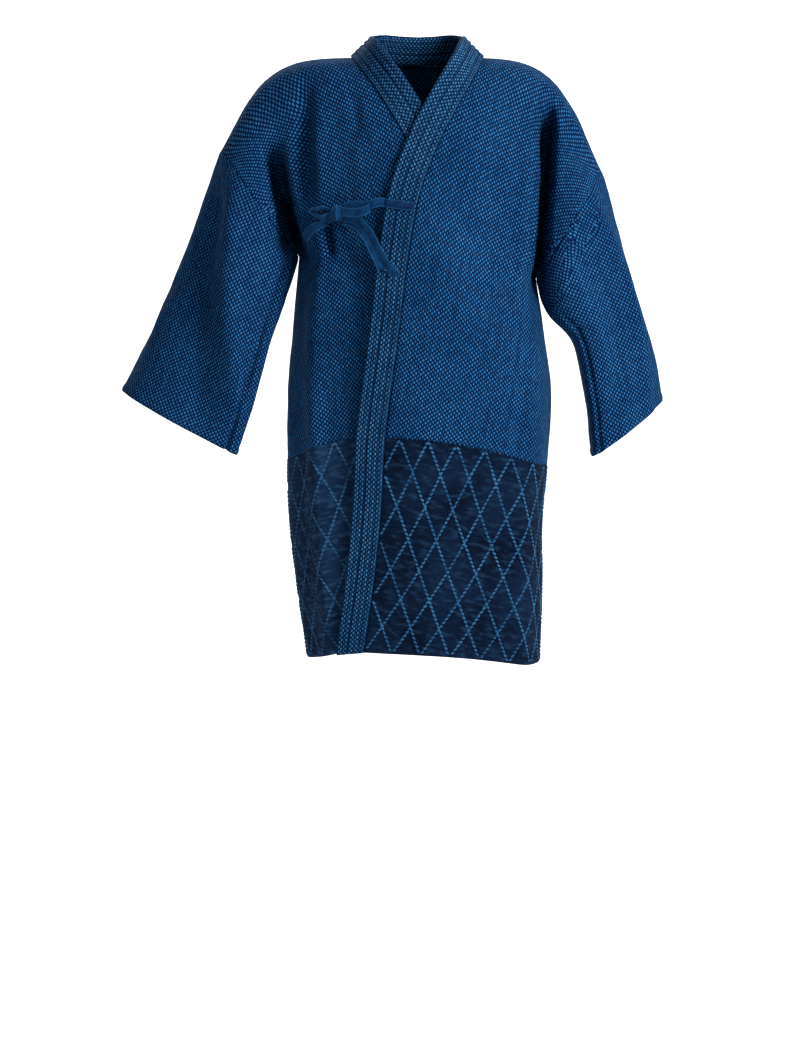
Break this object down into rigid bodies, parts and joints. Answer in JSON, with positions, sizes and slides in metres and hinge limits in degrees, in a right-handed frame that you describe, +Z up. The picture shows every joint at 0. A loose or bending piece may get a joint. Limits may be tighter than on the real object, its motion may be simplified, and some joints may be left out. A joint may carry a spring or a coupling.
{
  "type": "kimono jacket",
  "caption": "Hip-length kimono-cut jacket of thick indigo cotton, rice-grain weave above a diamond-quilted skirt, ribbed collar band and tied tape, worn closed and hollow.",
  "frame": {"origin": "middle of the neck's base, level with the shoulders, where the wearer holds the garment up", "axes": "+Z up towards the neck, -Y out of the front, +X towards the wearer's left"},
  "size_m": [0.772, 0.2766, 0.8877],
  "materials": {
    "sashiko_cloth": "thick rice-grain weave in indigo with light blue grains, matte",
    "quilted_navy_cloth": "dark navy plain weave with light blue running stitches in diamonds, matte",
    "ribbed_collar_cloth": "faded indigo rice-grain weave sewn in lengthwise ribs, matte",
    "tie_tape": "plain-woven indigo cotton tape, matte"
  },
  "bodies": {
    "root": {"body_right_upper": "sashiko_cloth", "body_left_upper": "sashiko_cloth", "sleeve_right": "sashiko_cloth", "sleeve_left": "sashiko_cloth", "skirt_front_right": "quilted_navy_cloth", "skirt_front_left": "quilted_navy_cloth", "skirt_back_right": "quilted_navy_cloth", "skirt_back_left": "quilted_navy_cloth", "collar_band": "ribbed_collar_cloth", "tie_tab": "tie_tape", "tie_left_strap": "tie_tape", "tie_right_strap": "tie_tape", "tie_loop_left_side": "tie_tape", "tie_loop_right_side": "tie_tape", "tie_tail_upper": "tie_tape", "tie_tail_under": "tie_tape", "tie_knot": "tie_tape"}
  },
  "joints": []
}
